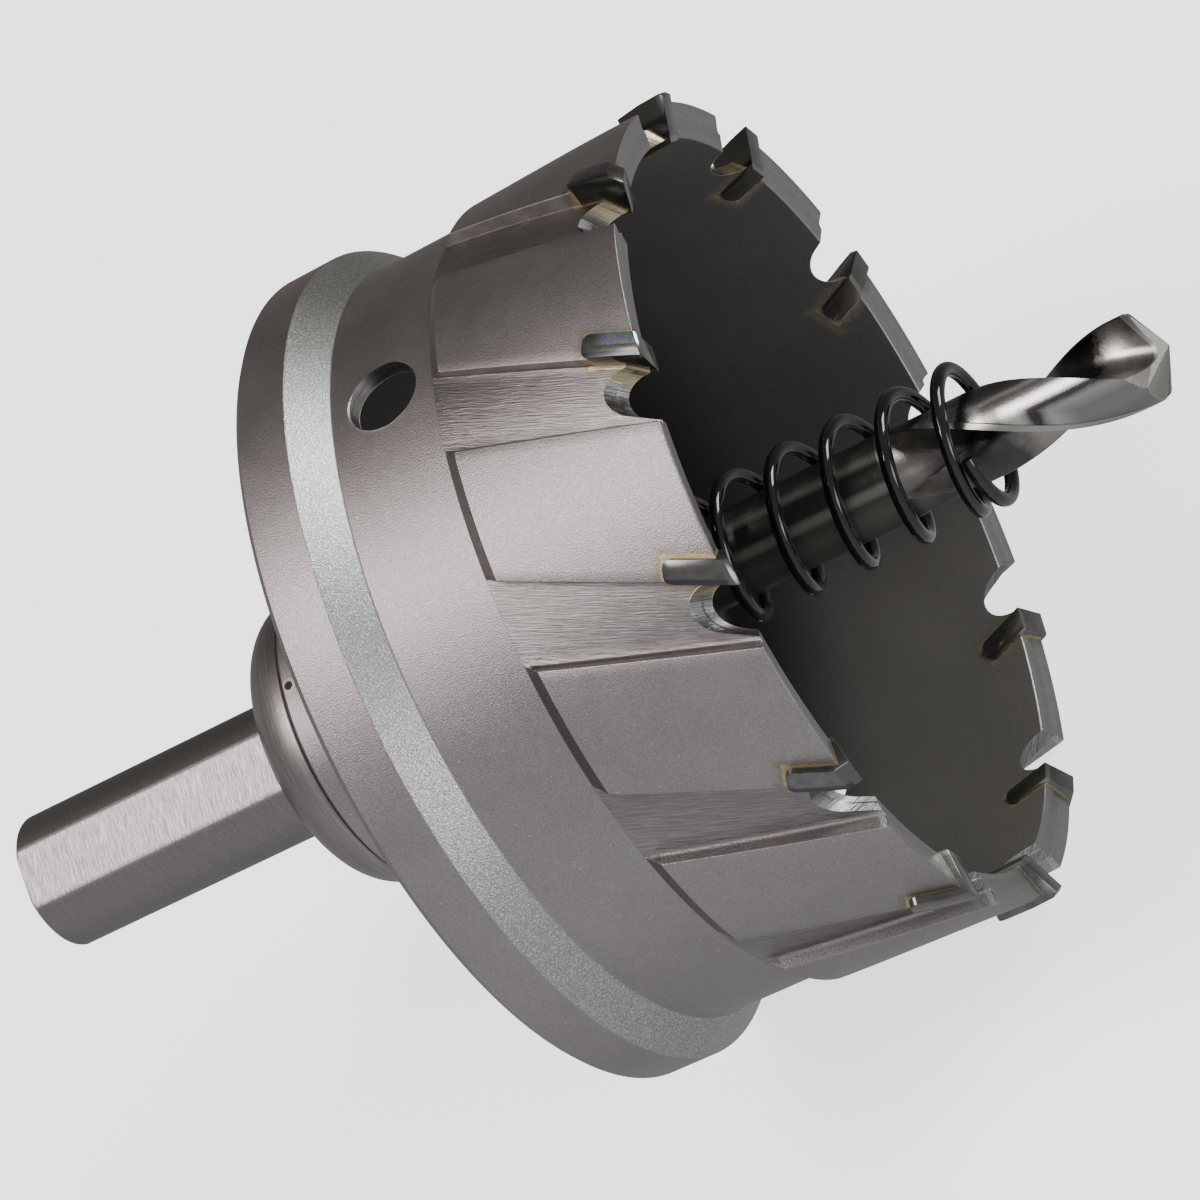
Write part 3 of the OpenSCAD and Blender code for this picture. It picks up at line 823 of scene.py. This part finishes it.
def brazeTint(steel, colour, point, r, toothY, toothZ, scoop, inside):
    # braze flush and brown heat tint round each tip's pocket, outside and in the bore
    halfWidth = cup["tipThick"] / 2 + cup["braze"]
    beside = (toothY + cup["tipThick"] / 2).math("ABSOLUTE") - halfWidth
    away = beside.math("MAXIMUM", -cup["seatLength"] - cup["braze"] - toothZ)
    patchy = steel.noise(point, 1.6, 3, 0.65)
    midWall = steel.band(r, tool["boreR"] + 0.15, tool["boreR"] + 1.05, 0.05)
    nearby = (steel.step(toothZ, -8, -7.5) * (1 - midWall)
              * (1 - scoop * 0.7))
    tint = steel.step(away - patchy * 1.9, 0.2, -0.9) * nearby
    flush = steel.step(away - patchy * 0.34, 0.0, -0.1) * nearby * (1 - inside * 0.6)
    colour = steel.mix(tint * 0.65, colour, cupLook["straw"])
    return steel.mix(flush * steel.step(patchy, 0.34, 0.5) * 0.85, colour, cupLook["gold"])


def smallMarks(steel, colour, x, y, z, r, turn, outside):
    # a punch mark on the hub, close to the collar, its middle in painted shade
    a, b, c = cupLook["punchAt"]
    punch = ((x - a) * (x - a) + (y - b) * (y - b) + (z - c) * (z - c)).math("SQRT")
    colour = steel.mix(steel.step(punch, 0.75, 0.6) * 0.7, colour, cupLook["edge"])
    colour = steel.mix(steel.step(punch, 0.5, 0.35), colour, cupLook["deepShade"])

    # a curved scratch in one flute
    scratchY = (turn - math.radians(cupLook["scratchTurn"])) * r
    scratchZ = z - cupLook["scratchZ"]
    ring = (scratchY * scratchY + scratchZ * scratchZ).math("SQRT")
    scratch = (steel.band(ring, cupLook["scratchR"] - 0.05, cupLook["scratchR"] + 0.05, 0.05)
               * steel.step(scratchY + scratchZ, 0.6, 1.4) * outside)
    return steel.mix(scratch * 0.6, colour, cupLook["speck"])


def cupFinish():
    look = cupLook
    steel = Finish("cupSteel")
    point, x, y, z, r, turn = steel.around()
    grain = steel.noise(point, 8.2, 1, 0.6)
    coarse = steel.noise(point, 2.1, 3, 0.6)
    cloud = steel.noise(point, 0.14, 4, 0.6)
    wallR, boreR, frontR = tool["wallR"], tool["boreR"], tool["landFrontR"]
    rimZ, landZ, floorZ, holeR = tool["rimZ"], tool["landZ"], tool["floorZ"], cup["holeR"]
    outside = steel.step(r, wallR - 1, wallR - 0.8)

    # blasted steel with a few bright specks
    mottle = steel.step(grain * 0.8 + coarse * 0.15 + cloud * 0.3, 0.40, 0.84)
    blasted = steel.mix(mottle, look["dark"], look["light"])
    speck = steel.step(steel.noise(point, 4.2, 0, 0.5), 0.83, 0.87)
    colour = steel.mix(speck, blasted, look["speck"])

    bevelZ = tool["bandW"] + tool["bevelL"]
    bevel = steel.band(z, tool["bandW"] + 0.02, bevelZ - 0.1, 0.08) * outside
    pitted = steel.noise(point, 6.2, 2, 0.7)
    pits = steel.step(pitted, 0.42, 0.76)
    colour = steel.mix(bevel, colour, steel.mix(pits, look["bevelDark"], look["bevelLight"]))

    # milling lines along the flutes
    toothY, toothZ = toothPlace(r, z, turn)
    wander = steel.noise(steel.join(toothY * 0.5, toothZ * 0.3, 3.0), 1.3, 2, 0.5)
    along = steel.join(toothY * 1.7 + wander * 0.6, toothZ * 0.075, 0.0)
    streak = steel.noise(along, 4.2, 3, 0.72)
    flute = (steel.step(r, wallR + 0.13, wallR + 0.07) * outside
             * steel.step(z, landZ - 0.02, landZ + 0.03))
    lit = steel.step(streak * 0.9 + wander * 0.15 + steel.step(toothY, 0.5, 6.0) * 0.1, 0.44, 0.82)
    colour = steel.mix(flute, colour, steel.mix(lit, look["fluteDark"], look["fluteLight"]))

    # the leading wall of each land, painted lighter as if lit, and painted shade on the step
    # behind the lands over part of the way round
    lead = (steel.band(toothY, -0.1, 0.05, 0.03) * steel.step(r, wallR + 0.08, wallR + 0.15)
            * steel.step(z, landZ, landZ + 0.1))
    wall = steel.mix(steel.step(cloud, 0.35, 0.7), look["wallDark"], look["wallLight"])
    colour = steel.mix(lead * 0.8, colour, wall)
    behind = (steel.band(z, landZ + 0.02, landZ + tool["landStep"], 0.04)
              * steel.step(r, wallR + 0.05, wallR + 0.15) * steel.step(turn, -0.9, -0.35))
    colour = steel.mix(behind * 0.75, colour, look["stepShade"])

    skin, lines = gulletSkin(steel, r, toothY, toothZ)
    scoop = (steel.step(skin, 0.06, 0.035) * steel.step(toothY, 0.0, 0.1)
             * steel.step(r, boreR - 0.15, boreR - 0.05))
    colour = steel.mix(scoop, colour, gulletColour(steel, toothY, lines))

    # ground rim with its outer and inner edge
    front = steel.step(z, rimZ - 0.75, rimZ - 0.68)
    flatRim = front * (1 - scoop) * steel.step(r, frontR - 0.04, frontR - 0.08)
    colour = steel.mix(flatRim, colour, steel.mix(coarse, look["rimDark"], look["rim"]))
    goldEdge = (steel.band(r, frontR - 0.1, frontR - 0.02, 0.02)
                * steel.step(z, rimZ - 0.2, rimZ - 0.1))
    colour = steel.mix(goldEdge * steel.step(coarse, 0.5, 0.65) * 0.6, colour, look["gold"])
    boreEdge = steel.band(r, boreR - 0.05, boreR + 0.08, 0.03) * front
    colour = steel.mix(boreEdge * 0.7, colour, look["edge"])

    inside = (steel.step(r, boreR + 0.07, boreR + 0.03) * steel.step(z, floorZ - 0.5, floorZ)
              * steel.step(z, rimZ - 0.72, rimZ - 0.78))
    bore = boreToneAndShade(steel, y, z, r, turn, cloud, grain)
    colour = steel.mix(inside * (1 - scoop), colour, bore)
    colour = brazeTint(steel, colour, point, r, toothY, toothZ, scoop, inside)

    # side holes: drilled walls with rings, and a faint burr on one side of the mouth
    aside = turn - math.radians(cup["holeTurn"])
    aside = (aside - (aside / math.pi).math("ROUND") * math.pi) * r
    ahead = z - cup["holeZ"]
    hole = (aside * aside + ahead * ahead).math("SQRT")
    rings = steel.noise(steel.join(r * 9, aside * 0.2, z * 0.2), 1.5, 2, 0.6)
    drilled = (steel.step(hole, holeR + 0.04, holeR + 0.01) * steel.step(z, floorZ - 1, floorZ)
               * steel.step(r, boreR - 0.45, boreR - 0.25))
    ringed = steel.mix(steel.step(rings, 0.35, 0.65), look["holeDark"], look["holeLight"])
    colour = steel.mix(drilled, colour, ringed)
    burr = (steel.band(hole, holeR + 0.1, holeR + 0.18, 0.03) * outside
            * steel.step(aside - ahead, 0.5, 4.0))
    colour = steel.mix(burr * 0.7, colour, look["speck"])

    colour = smallMarks(steel, colour, x, y, z, r, turn, outside)
    dent = steel.noise(point, 0.85, 1, 0.5)
    nick = steel.step(dent, 0.86, 0.89) * steel.step(grain, 0.42, 0.55) * outside
    colour = steel.mix(nick * 0.8, colour, look["nick"])

    rough = (0.365 + cloud * 0.1 - bevel * 0.05 - flute * 0.06 - scoop * 0.08 + inside * 0.16
             - drilled * 0.1)
    height = (grain * (1 - flute) * (1 - scoop) * 1.5 + streak * flute * 2.8 + lines * scoop * 1.6
              + pitted * bevel * 0.6 + rings * drilled - nick * 1.5)
    return steel.surface(Base_Color=colour, Metallic=1.0 - inside * 0.45, Roughness=rough,
                         Normal=steel.bump(height, 0.3, 0.00008))


arborLook = {
    "roundDark": (0.17, 0.155, 0.151), "roundLight": (0.25, 0.232, 0.227),
    "flatDark": (0.25, 0.222, 0.222), "flatLight": (0.58, 0.535, 0.535),
    "collarDark": (0.22, 0.20, 0.195), "collarLight": (0.34, 0.315, 0.305),
}


def arborFinish():
    look = arborLook
    steel = Finish("arborSteel")
    point, _, _, z, r, turn = steel.around()
    grain = steel.noise(point, 6, 3, 0.6)
    collarRear = -tool["hubL"] - arbor["collarL"]
    turned = steel.noise(steel.join(turn * 1.1, z * 7, r * 7), 2.4, 3, 0.6)
    mottle = steel.step(turned * 0.5 + grain * 0.5, 0.3, 0.7)
    colour = steel.mix(mottle, look["roundDark"], look["roundLight"])

    # the flats, ground across the shank
    flat = (steel.step(z, collarRear, collarRear - 0.1)
            * steel.step(r, arbor["shankR"] - 0.01, arbor["shankR"] - 0.04))
    third = 2 * math.pi / 3
    across = (turn - math.radians(arbor["flatTurn"])) / third
    across = (across - across.math("ROUND")) * third * 6
    scratchAt = steel.join(z * 3.3 + across * 0.35, across * 0.2, turn.math("ROUND"))
    scratch = steel.noise(scratchAt, 2.3, 4, 0.75)
    ground = steel.mix(steel.step(scratch, 0.38, 0.66), look["flatDark"], look["flatLight"])
    colour = steel.mix(flat, colour, ground)

    collar = steel.step(z, collarRear - 0.06, collarRear + 0.02)
    rubbed = steel.mix(steel.step(turned, 0.36, 0.7), look["collarDark"], look["collarLight"])
    colour = steel.mix(collar, colour, rubbed)
    rough = 0.4 + grain * 0.08 - collar * 0.08
    height = scratch * flat * 1.8 + turned * collar * 0.7 + grain * (1 - flat) * 0.5
    return steel.surface(Base_Color=colour, Metallic=1.0, Roughness=rough,
                         Normal=steel.bump(height, 0.3, 0.00006))


drillLook = {
    "shankDark": (0.02, 0.0195, 0.018), "shankLight": (0.56, 0.54, 0.487),
    "flankDark": (0.27, 0.27, 0.245), "flank": (0.44, 0.44, 0.405), "gash": (0.58, 0.58, 0.54),
    "margin": (0.34, 0.34, 0.305),
    # angle round the shank and brightness of its painted highlight bands
    "shankHighlights": [(-60, 0.13), (-36, 0.28), (-25, 0.9), (-16, 0.14), (6, 0.14), (12, 0.72),
                   (18, 0.72), (25, 0.22), (45, 0.33), (80, 0.24)],
    # place along the drill and brightness of the painted reflection bands, on the lands and in the
    # flutes
    "landReflections": [(48.2, 0.13), (50.0, 0.19), (50.9, 0.58), (51.6, 0.20), (52.6, 0.14),
                  (53.3, 0.40), (54.2, 0.56), (54.9, 0.34), (55.3, 0.07), (55.9, 0.065),
                  (56.5, 0.28), (57.0, 0.40), (58.0, 0.28), (59.0, 0.20), (66.0, 0.24)],
    "fluteReflections": [(40.0, 0.08), (43.5, 0.26), (46.0, 0.17), (48.5, 0.10), (51.5, 0.07),
                   (53.5, 0.22), (55.5, 0.34), (57.5, 0.04), (61.3, 0.035), (62.0, 0.34),
                   (63.5, 0.45), (65.5, 0.24), (67.0, 0.18)],
    "bandsFrom": 40, "bandsL": 28, "landWarmth": 0.965, "fluteWarmth": 0.93,
    "shankEnd": (46.5, 43), "fluteStart": (38, 42), "marginStart": (46, 48), "landMiddle": 8,
}


def drillFinish():
    look = drillLook
    steel = Finish("drillSteel")
    point, x, y, z, r, turn = steel.around()
    fine = steel.noise(point, 6, 2, 0.6)
    soft = steel.noise(point, 0.9, 2, 0.5)
    ground = steel.noise(steel.join(x * 0.3, y * 0.3, z * 5), 2, 2, 0.6)

    def paintedBands(place, stops, warm):
        return steel.ramp((place - look["bandsFrom"]) / look["bandsL"], [
            ((at - look["bandsFrom"]) / look["bandsL"], (shade, shade * warm, shade * warm * warm))
            for at, shade in stops])

    # on a land the painted reflection bands cross its front half, then run along the drill on its
    # rear half
    lands = (turn - z * (2 * math.pi / drill["lead"]) - math.radians(drill["landTurn"])) / math.pi
    across = (lands - lands.math("ROUND")) * 180
    behind = (look["landMiddle"] - across).math("MAXIMUM", 0.0) * (drill["lead"] / 360)
    landPlace = z - behind + fine * 0.3 + soft * 0.6 - 0.45
    flutePlace = z + soft * 2.4 + fine * 0.3 - r * 0.25 - 1.0
    bodyR = drill["r"] - drill["clearance"]
    hollow = steel.step(r, bodyR - 0.04, bodyR - 0.14) * steel.step(z, *look["fluteStart"])
    shank = steel.step(z, *look["shankEnd"])
    # painted highlights: bright bands along the shank at fixed angles round it
    lit = steel.ramp(turn / 3 + 0.5, [(math.radians(at) / 3 + 0.5, (shade, shade, shade))
                                      for at, shade in look["shankHighlights"]])
    colour = steel.mix(lit * (0.75 + ground * 0.5), look["shankDark"], look["shankLight"])
    # painted reflections: bright and dark bands on the lands, then in the flutes
    bands = paintedBands(landPlace, look["landReflections"], look["landWarmth"])
    colour = steel.mix(1 - shank, colour, bands)
    bands = paintedBands(flutePlace, look["fluteReflections"], look["fluteWarmth"])
    colour = steel.mix(hollow, colour, bands)
    margin = (steel.step(r, drill["r"] - 0.08, drill["r"] - 0.03)
              * steel.step(z, *look["marginStart"]))
    colour = steel.mix(margin, colour, look["margin"])

    # the ground point and its two gashes
    cone = z + r / tand(drill["pointAngle"] / 2)
    atPoint = steel.step(cone, drill["tipZ"] - 0.85, drill["tipZ"] - 0.75)
    colour = steel.mix(atPoint, colour, steel.mix(fine, look["flankDark"], look["flank"]))
    a, b, c = drill["gash"]
    gash = (x * a + y * b).math("ABSOLUTE") + z * c
    facet = steel.step(gash, drill["gashAt"] - 0.04, drill["gashAt"] - 0.02)
    colour = steel.mix(facet * fine, colour, look["gash"])
    rough = 0.25 + fine * 0.06 + atPoint * 0.14 + shank * 0.1
    height = fine * 0.3 + ground * shank * 0.8
    return steel.surface(Base_Color=colour, Metallic=1.0 - shank * 0.08, Roughness=rough,
                         Normal=steel.bump(height, 0.4, 0.00006))


springLook = {
    "black": (0.003, 0.003, 0.003), "grey": (0.008, 0.0075, 0.007), "worn": (0.035, 0.028, 0.024),
}


def springFinish():
    look = springLook
    black = Finish("springBlack")
    point = black.toolPoint()
    fine = black.noise(point, 3.5, 3, 0.6)
    worn = black.noise(point, 0.7, 3, 0.6)
    colour = black.mix(fine, look["black"], look["grey"])
    colour = black.mix(black.step(worn, 0.62, 0.75) * 0.5, colour, look["worn"])
    return black.surface(Base_Color=colour, Metallic=0.0, Roughness=0.04 + fine * 0.04,
                         Specular_IOR_Level=0.36, Coat_Weight=0.35,
                         Normal=black.bump(fine, 0.1, 0.00004))


carbideLook = {
    "dark": (0.105, 0.102, 0.10), "light": (0.165, 0.16, 0.156), "edgeShade": (0.05, 0.051, 0.06),
    "face": (0.07, 0.065, 0.056), "front": (0.14, 0.141, 0.14), "bore": (0.22, 0.215, 0.19),
    # rainbow temper film on the outer face of one tip
    "rainbow": [(0.34, (0.34, 0.32, 0.35)), (0.44, (0.22, 0.48, 0.34)), (0.50, (0.48, 0.46, 0.48)),
                (0.57, (0.38, 0.28, 0.58)), (0.68, (0.38, 0.38, 0.39))],
}


def carbideFinish():
    look = carbideLook
    carbide = Finish("carbide")
    point, _, _, z, r, turn = carbide.around()
    fine = carbide.noise(point, 14, 2, 0.5)
    cloud = carbide.noise(point, 1.1, 3, 0.6)
    mottle = carbide.step(fine * 0.4 + cloud * 0.6, 0.35, 0.7)
    colour = carbide.mix(mottle, look["dark"], look["light"])

    # a dark bluish strip of painted shade along the outer edge, then the cutting face, the front
    # and the inner end
    toothY, toothZ = toothPlace(r, z, turn)
    strip = carbide.step(toothY, -0.5, -0.38) * carbide.step(r, 37.6, 37.7)
    colour = carbide.mix(strip * 0.8, colour, look["edgeShade"])
    colour = carbide.mix(carbide.step(toothY, -0.06, -0.02), colour, look["face"])
    front = carbide.step(z, tool["rimZ"] + 0.1, tool["rimZ"] + 0.4)
    colour = carbide.mix(front * 0.8, colour, look["front"])
    inner = carbide.step(r, tool["boreR"] + 0.25, tool["boreR"] + 0.05)
    colour = carbide.mix(inner, colour, look["bore"])

    rainbow = carbide.ramp(carbide.noise(point, 1.5, 2, 0.5), look["rainbow"])
    home = math.radians(tool["toothTurn"] - pitch)
    film = (carbide.band(turn, home - 0.2, home + 0.02, 0.01) * carbide.step(r, 37.6, 37.75)
            * carbide.step(toothY, -0.9, -1.1) * carbide.step(toothZ, -4.6, -2.6))
    colour = carbide.mix(film * 0.8, colour, rainbow)
    return carbide.surface(Base_Color=colour, Metallic=0.9, Roughness=0.16 + fine * 0.06,
                           Normal=carbide.bump(fine, 0.06, 0.00002))


brazeLook = {"dull": (0.22, 0.185, 0.10), "bright": (0.56, 0.49, 0.29)}


def brazeFinish():
    gold = Finish("brazeGold")
    fine = gold.noise(gold.toolPoint(), 3, 4, 0.65)
    colour = gold.mix(fine, brazeLook["dull"], brazeLook["bright"])
    return gold.surface(Base_Color=colour, Metallic=0.9, Roughness=0.4 + fine * 0.2,
                        Normal=gold.bump(fine, 0.4, 0.00006))


screwLook = {"dark": (0.015, 0.015, 0.016), "light": (0.04, 0.04, 0.042)}


def screwFinish():
    black = Finish("screwBlack")
    fine = black.noise(black.toolPoint(), 4, 3, 0.6)
    colour = black.mix(fine, screwLook["dark"], screwLook["light"])
    return black.surface(Base_Color=colour, Metallic=0.6, Roughness=0.4 + fine * 0.15)


def dress(piece, material):
    if piece.material_slots:
        for place in piece.material_slots:
            place.link = "OBJECT"
            place.material = material
    else:
        piece.data.materials.append(material)


dress(cupPiece, cupFinish())
dress(arborPiece, arborFinish())
dress(drillPiece, drillFinish())
dress(springPiece, springFinish())
carbide, gold = carbideFinish(), brazeFinish()
for piece in tipPieces:
    dress(piece, carbide)
for k in range(tool["teeth"]):
    dress(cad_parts["braze_seam_%02d" % (k + 1)], gold)
dress(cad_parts["drill_set_screw"], screwFinish())
print("finishes done")


# directions and the camera's place are given in the tool's frame
stage = {
    "floorColour": (0.85, 0.85, 0.85), "floorSize": 6, "floorGlow": 1.6,
    # shade of the surroundings, by how far a direction points to the light side
    "lightSide": (0.35, 0.93, 0), "surroundings": [
        (-0.95, (0.14, 0.13, 0.12)), (-0.7, (0.20, 0.19, 0.178)), (-0.45, (0.38, 0.375, 0.37)),
        (0.3, (0.45, 0.45, 0.455)), (0.7, (0.62, 0.62, 0.635)), (0.9, (0.79, 0.80, 0.83))],
    # name, direction, distance in m, side length in m, power in W and tint
    "softboxes": [
        ("key", (0.874, -0.32, -0.367), 0.9, 0.42, 5.7, (1, 0.93, 0.925)),
        ("side", (0.14, -0.655, 0.74), 0.9, 0.36, 5.6, (1, 1, 1)),
        ("front", (0.363, 0.228, 0.9), 1.1, 0.4, 3, (1, 1, 1)),
    ],
    # the camera's place in mm, its axes and its lens
    "eye": (349.3, 60.6, 152.1), "right": (-0.4018, 0.3714, 0.8370), "up": (0, -0.9140, 0.4056),
    "back": (0.9157, 0.1630, 0.3673), "lens": 130.82,
}


def addFloor():
    half = stage["floorSize"] / 2
    mesh = bpy.data.meshes.new("floor")
    mesh.from_pydata([(-half, -half, 0), (half, -half, 0), (half, half, 0), (-half, half, 0)],
                     [], [(0, 1, 2, 3)])
    floor = bpy.data.objects.new("floor", mesh)
    bpy.context.scene.collection.objects.link(floor)
    floor.visible_glossy = False    # keeps the steel's lower side from mirroring the pale floor
    pale = Finish("floorPale")
    floor.data.materials.append(pale.surface(
        Base_Color=stage["floorColour"], Roughness=0.9, Metallic=0.0,
        Emission_Color=(1.0, 1.0, 1.0), Emission_Strength=stage["floorGlow"]))


def addSoftbox(name, direction, distance, size, power, tint):
    # the direction is seen from the middle of the cup
    middle = toolToRow @ Vector((0, 0, 0.02))
    way = (toolToRow.to_3x3() @ Vector(direction)).normalized()
    light = bpy.data.lights.new(name, "AREA")
    light.shape = "SQUARE"
    light.size = size
    light.energy, light.color = power, tint
    lamp = bpy.data.objects.new(name, light)
    lamp.location = middle + way * distance
    lamp.rotation_euler = way.to_track_quat("Z", "Y").to_euler()
    bpy.context.scene.collection.objects.link(lamp)


def addWorld():
    # soft grey surroundings, lighter on one side of the tool than on the other
    world = bpy.data.worlds.new("studio")
    bpy.context.scene.world = world
    studio = Finish("studio", world)
    way = studio.node("ShaderNodeTexCoord", None, None, "Generated")
    axis = (toolToRow.to_3x3() @ Vector(stage["lightSide"])).normalized()
    side = studio.node("ShaderNodeVectorMath", {"operation": "DOT_PRODUCT"},
                       {0: way, 1: tuple(axis)}, "Value")
    shade = studio.ramp(side * 0.5 + 0.5, [((place + 1) / 2, level)
                                           for place, level in stage["surroundings"]])
    sky = studio.node("ShaderNodeBackground", None, {"Color": shade, "Strength": 1.0})
    end = studio.tree.nodes.new("ShaderNodeOutputWorld")
    studio.tree.links.new(sky.socket, end.inputs["Surface"])


def addCamera():
    data = bpy.data.cameras.new("camera")
    data.lens, data.sensor_width, data.sensor_fit = stage["lens"], 36, "HORIZONTAL"
    data.clip_start, data.clip_end = 0.01, 20
    camera = bpy.data.objects.new("camera", data)
    axes = Matrix([stage["right"], stage["up"], stage["back"]]).transposed()
    turned = (toolToRow.to_3x3() @ axes).to_quaternion().to_matrix().to_4x4()
    place = toolToRow @ (Vector(stage["eye"]) / 1000)
    camera.matrix_world = Matrix.Translation(place) @ turned
    bpy.context.scene.collection.objects.link(camera)
    bpy.context.scene.camera = camera


addFloor()
for softbox in stage["softboxes"]:
    addSoftbox(*softbox)
addWorld()
addCamera()
print("stage done")
